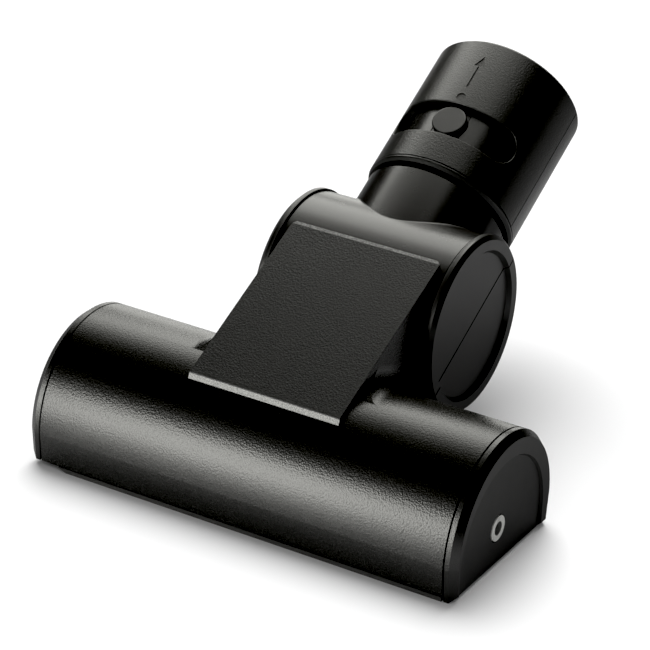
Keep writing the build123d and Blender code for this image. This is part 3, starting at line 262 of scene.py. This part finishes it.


# Hood, neck and slanting plate: one injection-moulded black piece, screwed on from below.
# The arch and the neck are finely speckled. The plate on the neck has a leather-like grain,
# and its front lip and rear edge are a lighter grey, which is a painted highlight.
class Surface(Nodes):
    """A material on a Principled surface, with object coordinates in millimetres."""

    def __init__(self, name, *nodes, **plain):
        material = bpy.data.materials.new(name)
        super().__init__(material)
        self.material = material
        self.shader = self.tree.nodes["Principled BSDF"]
        self.fill(self.shader, plain)
        coords = self.node("TexCoord", {}, {}, "Object")
        self.place = self.node("VectorMath", {"operation": "SCALE"}, {0: coords, "Scale": 1 / MM})
        split = self.node("SeparateXYZ", {}, {0: self.place}).socket.node
        self.x, self.y, self.z = (Value(self, part) for part in split.outputs)
        for piece in nodes:
            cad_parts[piece].data.materials.clear()
            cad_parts[piece].data.materials.append(material)

    def noise(self, size, detail=2.0, stretch=(1, 1, 1), rough=0.5):
        """Cloudy values round 0.5 with features of a size in millimetres, drawn out by stretch."""
        scaled = self.node("VectorMath", {"operation": "DIVIDE"}, {0: self.place, 1: stretch})
        return self.node(
            "TexNoise",
            {},
            {"Vector": scaled, "Scale": 1 / size, "Detail": detail, "Roughness": rough},
        )

    def cells(self, size):
        """Distance to the nearest point of a random scatter with a spacing in millimetres."""
        return self.node("TexVoronoi", {}, {"Vector": self.place, "Scale": 1 / size})

    def mix(self, factor, first, second):
        """Blend of two colours."""
        first, second = ((*tone, 1) if isinstance(tone, tuple) else tone for tone in (first, second))
        return self.node("Mix", {"data_type": "RGBA"}, {0: factor, 6: first, 7: second}, 2)

    def finish(self, colour, roughness, height, depth):
        """Joins the colour, the roughness and a relief, whose depth is in millimetres, to the shader."""
        bump = self.node("Bump", {}, {"Strength": 1.0, "Distance": depth * MM, "Height": height})
        self.fill(self.shader, {"Base Color": colour, "Roughness": roughness, "Normal": bump})


PLATE_SLOPE = 0.4912
PLATE_FRONT = (-15.5, 41.92)
PLATE_REAR = 46.57
PLATE_HALF_WIDTH = 28.0
PLATE_SKIN = 0.3
LIP_FOOT = 39.75
NECK_MIDDLE = -0.5
CREASE_FOOT, CREASE_TOP = 7.0, 12.0
SPECKLE_SIZE, PORE_SIZE, LEATHER_SIZE = 0.55, 0.8, 0.6
HOOD_BLACKS = (0.0060, 0.0060, 0.0048), (0.0090, 0.0088, 0.0068)
PLATE_BLACKS = (0.0012, 0.0012, 0.0010), (0.0034, 0.0033, 0.0027)
# Painted highlight: the lighter greys and their share on the plate's front lip and rear edge.
LIP_HIGHLIGHT_GREYS = (0.05, 0.05, 0.047), (0.23, 0.23, 0.22)
LIP_HIGHLIGHT_SHARE = 0.85
HOOD_ROUGH, SPECKLE_ROUGH = 0.21, 0.10
PLATE_ROUGH, LEATHER_ROUGH = 0.20, 0.22
SPECKLE_RISE, LEATHER_RISE, PORE_RISE = 0.72, 2.9, 1.3
CREASE_DROP = 3.1
HOOD_RELIEF = 0.06

hood = Surface("hood_plastic", "upper_housing", IOR=1.5)
plate_depth = (hood.z - PLATE_FRONT[1]) - (hood.y - PLATE_FRONT[0]) * PLATE_SLOPE
across_plate = (hood.x - NECK_MIDDLE).size().ramp(PLATE_HALF_WIDTH + 0.2, PLATE_HALF_WIDTH - 0.1)
plate = plate_depth.size().ramp(PLATE_SKIN, PLATE_SKIN - 0.2) * across_plate
lip_front = hood.y.ramp(PLATE_FRONT[0], PLATE_FRONT[0] - 0.08)
lip = lip_front * hood.z.ramp(LIP_FOOT, LIP_FOOT + 0.2) * across_plate
rear_edge = plate * hood.y.ramp(PLATE_REAR - 1.3, PLATE_REAR - 0.9)
speckle = hood.cells(SPECKLE_SIZE)
pores = hood.cells(PORE_SIZE)
leather = hood.noise(LEATHER_SIZE, 4.0, rough=0.7)
hood_tone = hood.mix(hood.noise(14, 3.0), *HOOD_BLACKS)
plate_tone = hood.mix(leather, *PLATE_BLACKS)
# Painted highlight on the plate's front lip and rear edge, mixed into the hood's colour.
painted_highlight_tone = hood.mix(hood.noise(0.5, 3.0, rough=0.7).ramp(0.35, 0.65), *LIP_HIGHLIGHT_GREYS)
hood_colour = hood.mix(lip * LIP_HIGHLIGHT_SHARE + rear_edge, hood.mix(plate, hood_tone, plate_tone), painted_highlight_tone)
hood_rough = HOOD_ROUGH + speckle * SPECKLE_ROUGH + plate * (PLATE_ROUGH + leather * LEATHER_ROUGH)

# The straight front leg meets the arch in a crease. The relief eases away below it, so that the shade
# runs on softly.
leg_rise = (hood.z - CREASE_FOOT) * (1 / (CREASE_TOP - CREASE_FOOT))
crease_blend = hood.node("Clamp", {}, {"Value": leg_rise}) ** 2
grain = speckle * (1 - plate) * SPECKLE_RISE + (leather * LEATHER_RISE + pores * PORE_RISE) * plate
hood.finish(hood_colour, hood_rough, grain - crease_blend * CREASE_DROP, HOOD_RELIEF)

# Underside: the floor moulding with its roll tunnel and keel, and the sole plate that is screwed under it,
# both injection-moulded in the hood's plastic.
# They slide over carpet, so the lowest faces are rubbed smoother and slightly grey.
WORN_BELOW = 1.8
LIGHT_WEAR = 0.35
SCRATCHES_ALONG_X = (6, 1, 1)
FINE_SCRATCHES_ALONG_X = (9, 1, 1)
UNDER_TONES = (0.008, 0.008, 0.007), (0.060, 0.058, 0.054)
UNDER_ROUGH, UNDER_UNEVEN, WORN_SHINE = 0.46, 0.12, 0.12
UNDER_GRAIN_SIZE, UNDER_GRAIN_RISE = 0.6, 0.4
UNDER_RELIEF = 0.03
for name, piece in (("floor_plastic", "lower_housing"), ("sole_plastic", "sole_plate")):
    under = Surface(name, piece, IOR=1.5)
    rubbed = under.z.ramp(WORN_BELOW, 0.1) * under.noise(3, 4.0, SCRATCHES_ALONG_X).ramp(0.35, 0.65)
    under_colour = under.mix(rubbed * LIGHT_WEAR, *UNDER_TONES)
    under_rough = UNDER_ROUGH + under.noise(5, 3.0) * UNDER_UNEVEN - rubbed * WORN_SHINE
    under_grain = under.cells(UNDER_GRAIN_SIZE) * UNDER_GRAIN_RISE
    scratches = under.noise(0.5, 2.0, FINE_SCRATCHES_ALONG_X) * rubbed
    under.finish(under_colour, under_rough, under_grain + scratches, UNDER_RELIEF)

# End caps: matt black mouldings that close the hood at both ends and hold the pressed-in axle of the roll.
# The band next to the hood is pebbled as the hood is, the bevel beside it is smooth,
# and the sunk panel is the most matt.
CAP_FACE = 80.0
HOOD_AXIS = 12.0
BEVEL_RADIUS = 30.1
BAND_DEPTH = 2.3
PANEL_DEPTH = 0.45
CAP_BLACKS = (0.0060, 0.0060, 0.0050), (0.0090, 0.0088, 0.0072)
CAP_ROUGH, CAP_UNEVEN = 0.34, 0.05
PANEL_MATT, BEVEL_SHINE, BAND_SHINE = 0.08, 0.10, 0.10
PEBBLE_SIZE, PEBBLE_RISE, PEBBLE_LEAST = 0.5, 0.6, 0.1
PANEL_GRAIN_SIZE, PANEL_GRAIN_RISE = 0.45, 0.3
CAP_RELIEF = 0.05
for name, piece in (("left_cap_plastic", "left_end_cap"), ("right_cap_plastic", "right_end_cap")):
    cap = Surface(name, piece, IOR=1.5)
    depth = CAP_FACE - cap.x.size()
    from_axis = (cap.y ** 2 + (cap.z - HOOD_AXIS) ** 2) ** 0.5
    band = depth.ramp(BAND_DEPTH, BAND_DEPTH + 0.2)
    bevel = depth.ramp(0.05, 0.15) * from_axis.ramp(BEVEL_RADIUS, BEVEL_RADIUS + 0.2) * (1 - band)
    panel = depth.ramp(PANEL_DEPTH, PANEL_DEPTH + 0.4) * (1 - band) * (1 - bevel)
    cap_colour = cap.mix(cap.noise(9, 3.0), *CAP_BLACKS)
    cap_shine = bevel * BEVEL_SHINE + band * BAND_SHINE
    cap_rough = CAP_ROUGH + panel * PANEL_MATT - cap_shine + cap.noise(4, 3.0) * CAP_UNEVEN
    pebbles = cap.cells(PEBBLE_SIZE) * (band * PEBBLE_RISE + PEBBLE_LEAST)
    panel_grain = cap.noise(PANEL_GRAIN_SIZE, 2.0) * panel * PANEL_GRAIN_RISE
    cap.finish(cap_colour, cap_rough, pebbles + panel_grain, CAP_RELIEF)

# Roll and turbine: a dark moulded core with a belt wheel turns on bronze bushes round a hollow steel axle.
# The bladed wheel and its pinion sit on a steel shaft in bronze bearings, which two carriers hold.
# Wheels and carriers are moulded in plastic of its natural pale tone.
ROLL_AXIS = (-3.6, 14.0)
AXLE_BORE = 2.3
# Painted shade: the dark grey given to the axle's bore.
BORE_SHADE_TONE = (0.06, 0.06, 0.06)
RINGS_ROUND_X = (1, 60, 60)
RING_PITCH, RING_ROUGH, RING_RELIEF = 0.25, 0.08, 0.01
DULL_SIZE, DULL_ROUGH, DULL_SHARE = 6, 0.15, 0.7
CLOUD_SIZE, UNEVEN_SIZE, UNEVEN_ROUGH = 7, 3, 0.1
GRAIN_SIZE, GRAIN_RELIEF = 0.5, 0.02
AXLE_TINT = (0.66, 0.66, 0.63)
AXLE_METAL = 0.4
CORE_GREYS, CORE_ROUGH = ((0.030, 0.030, 0.031), (0.045, 0.045, 0.046)), 0.42
DRIVE_TONES, DRIVE_ROUGH = ((0.60, 0.59, 0.54), (0.66, 0.65, 0.60)), 0.40
BRONZE_TINT, BRONZE_ROUGH = (0.50, 0.33, 0.16), 0.38


def turned_steel(name, *nodes, tint=(0.56, 0.56, 0.55), rough=0.28, metal=1.0, bore=0.0):
    """Steel turned about X, with fine rings, a few dull patches and painted shade in the bore round the
    roll's axis.
    """
    steel = Surface(name, *nodes, Metallic=metal)
    rings = steel.noise(RING_PITCH, 3.0, RINGS_ROUND_X)
    dull = steel.noise(DULL_SIZE, 4.0).ramp(0.45, 0.75)
    darker = tuple(DULL_SHARE * level for level in tint)
    from_axis = ((steel.y - ROLL_AXIS[0]) ** 2 + (steel.z - ROLL_AXIS[1]) ** 2) ** 0.5
    # Painted shade: the surface within the bore round the roll's axis is coloured dark grey.
    bore_shade = from_axis.ramp(bore + 0.2, bore - 0.1)
    colour = steel.mix(bore_shade, steel.mix(dull, tint, darker), BORE_SHADE_TONE)
    steel.finish(colour, rough + dull * DULL_ROUGH + rings * RING_ROUGH, rings, RING_RELIEF)


def plain_moulding(name, tones, rough, *nodes):
    """Hard moulding with a fine grain and a slow change of tone between two colours."""
    moulding = Surface(name, *nodes, IOR=1.5)
    tone = moulding.mix(moulding.noise(CLOUD_SIZE, 3.0), *tones)
    uneven = moulding.noise(UNEVEN_SIZE, 3.0) * UNEVEN_ROUGH
    moulding.finish(tone, rough + uneven, moulding.cells(GRAIN_SIZE), GRAIN_RELIEF)


turned_steel("axle_steel", "roll_axle", tint=AXLE_TINT, metal=AXLE_METAL, bore=AXLE_BORE)
turned_steel("shaft_steel", "turbine_shaft")
plain_moulding("roll_plastic", CORE_GREYS, CORE_ROUGH, "brush_core")
drive_pieces = "roll_pulley", "drive_pinion", "turbine_wheel", "carrier_left", "carrier_right"
plain_moulding("drive_plastic", DRIVE_TONES, DRIVE_ROUGH, *drive_pieces)
bronze_pieces = "bearing_left", "bearing_right", "roll_bush_left", "roll_bush_right"
turned_steel("bearing_bronze", *bronze_pieces, tint=BRONZE_TINT, rough=BRONZE_ROUGH)

# Screws: slotted and zinc-plated, with a faint yellow cast. They hold the housings, the sole plate,
# the carriers and the two shells of the elbow.
ZINC_TINT = (0.60, 0.58, 0.50)
screw_sets = "housing_screws", "sole_screws", "carrier_screws", "elbow_screws"
turned_steel("screw_steel", *screw_sets, tint=ZINC_TINT)

# Belt: one toothed loop of matt black rubber round the pinion and the roll's wheel.
# Its teeth are faced with a woven fabric.
WEAVE_SCALE = 1.6
RUBBER_TONES = (0.012, 0.012, 0.012), (0.026, 0.025, 0.024)
RUBBER_ROUGH, RUBBER_UNEVEN = 0.7, 0.15
WEAVE_RELIEF = 0.03
belt = Surface("belt_rubber", "drive_belt", IOR=1.5)
weave_at = {"Vector": belt.place, "Scale": WEAVE_SCALE}
weave, cross_weave = (
    belt.node("TexWave", {"wave_type": "BANDS", "bands_direction": axis}, weave_at) for axis in "XZ"
)
belt_colour = belt.mix(belt.noise(2, 3.0), *RUBBER_TONES)
belt_rough = RUBBER_ROUGH + belt.noise(1, 2.0) * RUBBER_UNEVEN
belt.finish(belt_colour, belt_rough, weave * cross_weave, WEAVE_RELIEF)

# Elbow: two satin black shells, moulded apart and screwed together round the turbine.
# The drum and tube shine softly. The dished discs at both ends and the rims round them are finely matt,
# and the line where the shells meet is a fine groove on the discs.
DRUM_AXIS = (61.7, 44.9)
DISC_INNER = 31.2
SPLIT_ANGLE = radians(30.7)
SPLIT_HALF = 0.28
ELBOW_BLACKS = (0.006, 0.006, 0.005), (0.009, 0.0085, 0.007)
ELBOW_ROUGH, ELBOW_UNEVEN = 0.24, 0.05
DISC_MATT, DISH_MATT, SPLIT_MATT = 0.08, 0.08, 0.4
ELBOW_GRAIN_SIZE, ELBOW_GRAIN_RISE, DISH_GRAIN_RISE = 0.42, 0.35, 2.4
SPLIT_DROP = 6
ELBOW_RELIEF = 0.03


def above_split_plane(surface):
    """Height over the elbow's split plane, which runs through the drum's axis along the tube."""
    up, back = surface.z - DRUM_AXIS[1], surface.y - DRUM_AXIS[0]
    return up * cos(SPLIT_ANGLE) - back * sin(SPLIT_ANGLE)


elbow = Surface("elbow_plastic", "elbow_upper_shell", "elbow_lower_shell", IOR=1.5)
from_middle = (elbow.x - NECK_MIDDLE).size()
disc = from_middle.ramp(DISC_INNER - 0.4, DISC_INNER)
dish = from_middle.ramp(DISC_INNER + 0.9, DISC_INNER + 0.4) * disc
split_line = above_split_plane(elbow).size().ramp(SPLIT_HALF + 0.12, SPLIT_HALF - 0.08)
elbow_colour = elbow.mix(elbow.noise(18, 3.0), *ELBOW_BLACKS)
matt_parts = disc * DISC_MATT + dish * DISH_MATT + split_line * SPLIT_MATT
elbow_rough = ELBOW_ROUGH + matt_parts + elbow.noise(6, 3.0) * ELBOW_UNEVEN
elbow_grain = elbow.cells(ELBOW_GRAIN_SIZE) * (ELBOW_GRAIN_RISE + dish * DISH_GRAIN_RISE)
elbow.finish(elbow_colour, elbow_rough, elbow_grain - split_line * disc * SPLIT_DROP, ELBOW_RELIEF)

# Cuff: two black covers with a fine grain like leather, closed round a smoother socket tube
# and turning on the elbow's spigot. The arrow and the dot are sunk in the upper cover and more matt.
CUFF_RADIUS = 27.3
CUFF_BLACKS = (0.0060, 0.0060, 0.0048), (0.0090, 0.0088, 0.0070)
CUFF_ROUGH, HIDE_ROUGH, SUNK_MATT = 0.27, 0.06, 0.22
HIDE_SIZE, CUFF_GRAIN_SIZE, CUFF_GRAIN_RISE = 0.8, 0.55, 0.7
CUFF_RELIEF = 0.075
SATIN_BLACKS, SATIN_ROUGH = ((0.007, 0.007, 0.006), (0.010, 0.0095, 0.0085)), 0.26
cuff = Surface("cuff_plastic", "cuff_upper_cover", "cuff_lower_cover", IOR=1.5)
from_tube_axis = ((cuff.x - NECK_MIDDLE) ** 2 + above_split_plane(cuff) ** 2) ** 0.5
sunk = from_tube_axis.ramp(CUFF_RADIUS - 0.12, CUFF_RADIUS - 0.28)
hide = cuff.noise(HIDE_SIZE, 4.0, rough=0.65)
cuff_colour = cuff.mix(cuff.noise(16, 3.0), *CUFF_BLACKS)
cuff_rough = CUFF_ROUGH + hide * HIDE_ROUGH + sunk * SUNK_MATT
cuff.finish(cuff_colour, cuff_rough, hide + cuff.cells(CUFF_GRAIN_SIZE) * CUFF_GRAIN_RISE, CUFF_RELIEF)
plain_moulding("socket_plastic", SATIN_BLACKS, SATIN_ROUGH, "socket_tube")

# Release button: a smooth satin moulding on a tongue in the spigot's upper wall, hinged on two pins.
# Handling has left its gloss slightly uneven.
BUTTON_UNEVEN = 0.1
BUTTON_GRAIN_SIZE, BUTTON_RELIEF = 0.4, 0.015
button = Surface("button_plastic", "release_button", IOR=1.5)
button_colour = button.mix(button.noise(5, 3.0), *SATIN_BLACKS)
button_rough = SATIN_ROUGH + button.noise(2.5, 3.0) * BUTTON_UNEVEN
button.finish(button_colour, button_rough, button.cells(BUTTON_GRAIN_SIZE), BUTTON_RELIEF)

# Felt ring: grey pressed fibres round the socket tube, cut from sheet.
# It closes the gap between the tube and the spigot.
FELT_GREYS = (0.16, 0.16, 0.155), (0.33, 0.33, 0.32)
FIBRE_SIZE, FIBRES_ALONG_Y = 0.5, (1, 3, 1)
FELT_ROUGH, FIBRE_ROUGH = 0.9, 0.05
FELT_RELIEF = 0.3
felt = Surface("felt", "felt_ring", IOR=1.4)
fibres = felt.noise(FIBRE_SIZE, 5.0, FIBRES_ALONG_Y, 0.7)
felt.finish(felt.mix(fibres, *FELT_GREYS), FELT_ROUGH + fibres * FIBRE_ROUGH, fibres, FELT_RELIEF)

# Bristle tufts: each socket of the core holds a bundle of nylon filaments that spreads towards its tips.
# The sockets stand in two rows, each a chevron that leaves the belt's track free. A filament is a ring of
# five sides carried up a curve, whose offset from root to tip grows with the square of its height.
ROLL_RADIUS = 13.6
TUFT_ROOT = 6.2
TUFT_RADIUS = 1.3
TUFT_PITCH = 4.4
TUFT_SPAN = 126.0
TUFT_LEAD = 60.0
BELT_AT = 17.0
BELT_FREE = 5.7
ROWS = {"a": (20.0, 11), "b": (200.0, 12)}
FILAMENTS = 30
FILAMENT_RADIUS = 0.11
FILAMENT_SIDES = 5
ROOT_GATHER = 0.8
TIP_SCATTER = 0.12
TIP_OVERHANG = 0.3
TIP_SHORT = 0.12
TIP_UNEVEN = 0.5
RING_HEIGHTS = (0, 0.55, 1.0)
WORN_TIP = 2.5
NYLON_TONES = (0.035, 0.035, 0.037), (0.11, 0.11, 0.11)
NYLON_ROUGH, WORN_MATT = 0.32, 0.3
NYLON_GRAIN_SIZE, NYLON_RELIEF = 0.3, 0.01

gaps = int(TUFT_SPAN / TUFT_PITCH)
stations = (np.arange(gaps + 1) - gaps / 2) * TUFT_PITCH
stations = stations[np.abs(stations - BELT_AT) > BELT_FREE]
along = np.array([1.0, 0, 0])
levels = np.array(RING_HEIGHTS)
bend = levels**2
side = np.arange(FILAMENT_SIDES)
corner = 2 * np.pi * side / FILAMENT_SIDES
for row, (row_angle, seed) in ROWS.items():
    draw = np.random.default_rng(seed)
    turn = np.radians(row_angle + TUFT_LEAD * np.abs(2 * stations / TUFT_SPAN))
    outward = np.stack([0 * turn, np.cos(turn), np.sin(turn)], 1)
    sideways = np.stack([0 * turn, -np.sin(turn), np.cos(turn)], 1)
    count = (len(stations), FILAMENTS)
    spread = np.sqrt(draw.random(count)) * (TUFT_RADIUS - FILAMENT_RADIUS)
    heading = draw.random(count) * 2 * np.pi
    root_x, root_s = spread * np.cos(heading) * ROOT_GATHER, spread * np.sin(heading) * ROOT_GATHER
    tip_x = spread * np.cos(heading) + draw.normal(0, TIP_SCATTER, count)
    tip_s = spread * np.sin(heading) + draw.normal(0, TIP_SCATTER, count)
    keep_in = np.minimum(1, (TUFT_RADIUS + TIP_OVERHANG) / np.maximum(np.hypot(tip_x, tip_s), 1e-6))
    tip_x, tip_s = tip_x * keep_in, tip_s * keep_in
    length = ROLL_RADIUS - TUFT_ROOT - TIP_SHORT - draw.random(count) * TIP_UNEVEN
    centre = (
        np.array([0, ROLL_AXIS[0], ROLL_AXIS[1]])
        + stations[:, None, None, None] * along
        + (TUFT_ROOT + length[..., None] * levels)[..., None] * outward[:, None, None, :]
        + (root_x[..., None] + (tip_x - root_x)[..., None] * bend)[..., None] * along
        + (root_s[..., None] + (tip_s - root_s)[..., None] * bend)[..., None] * sideways[:, None, None, :]
    )
    ring = FILAMENT_RADIUS * (
        np.cos(corner)[None, :, None] * along + np.sin(corner)[None, :, None] * sideways[:, None, :]
    )
    points = (centre[:, :, :, None, :] + ring[:, None, None, :, :]) * MM
    first_corner = np.arange(len(stations) * FILAMENTS) * len(levels) * FILAMENT_SIDES
    ring_start = first_corner[:, None, None] + (np.arange(len(levels) - 1) * FILAMENT_SIDES)[None, :, None]
    low, low_next = ring_start + side, ring_start + (side + 1) % FILAMENT_SIDES
    walls = np.stack([low, low_next, low_next + FILAMENT_SIDES, low + FILAMENT_SIDES], -1).reshape(-1, 4)
    root_caps = first_corner[:, None] + side[::-1]
    tip_caps = first_corner[:, None] + (len(levels) - 1) * FILAMENT_SIDES + side
    mesh = bpy.data.meshes.new("bristles_" + row)
    faces = walls.tolist() + root_caps.tolist() + tip_caps.tolist()
    mesh.from_pydata(points.reshape(-1, 3).tolist(), [], faces)
    bristles = bpy.data.objects.new("bristles_" + row, mesh)
    scene.collection.objects.link(bristles)
    nylon = Surface("bristle_" + row, IOR=1.53)
    from_axis = ((nylon.y - ROLL_AXIS[0]) ** 2 + (nylon.z - ROLL_AXIS[1]) ** 2) ** 0.5
    worn = from_axis.ramp(ROLL_RADIUS - WORN_TIP, ROLL_RADIUS)
    nylon_colour, nylon_rough = nylon.mix(worn, *NYLON_TONES), NYLON_ROUGH + worn * WORN_MATT
    nylon.finish(nylon_colour, nylon_rough, nylon.noise(NYLON_GRAIN_SIZE, 2.0), NYLON_RELIEF)
    mesh.materials.append(nylon.material)
    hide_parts("bristle_tufts_" + row)
    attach(bristles, "roll")
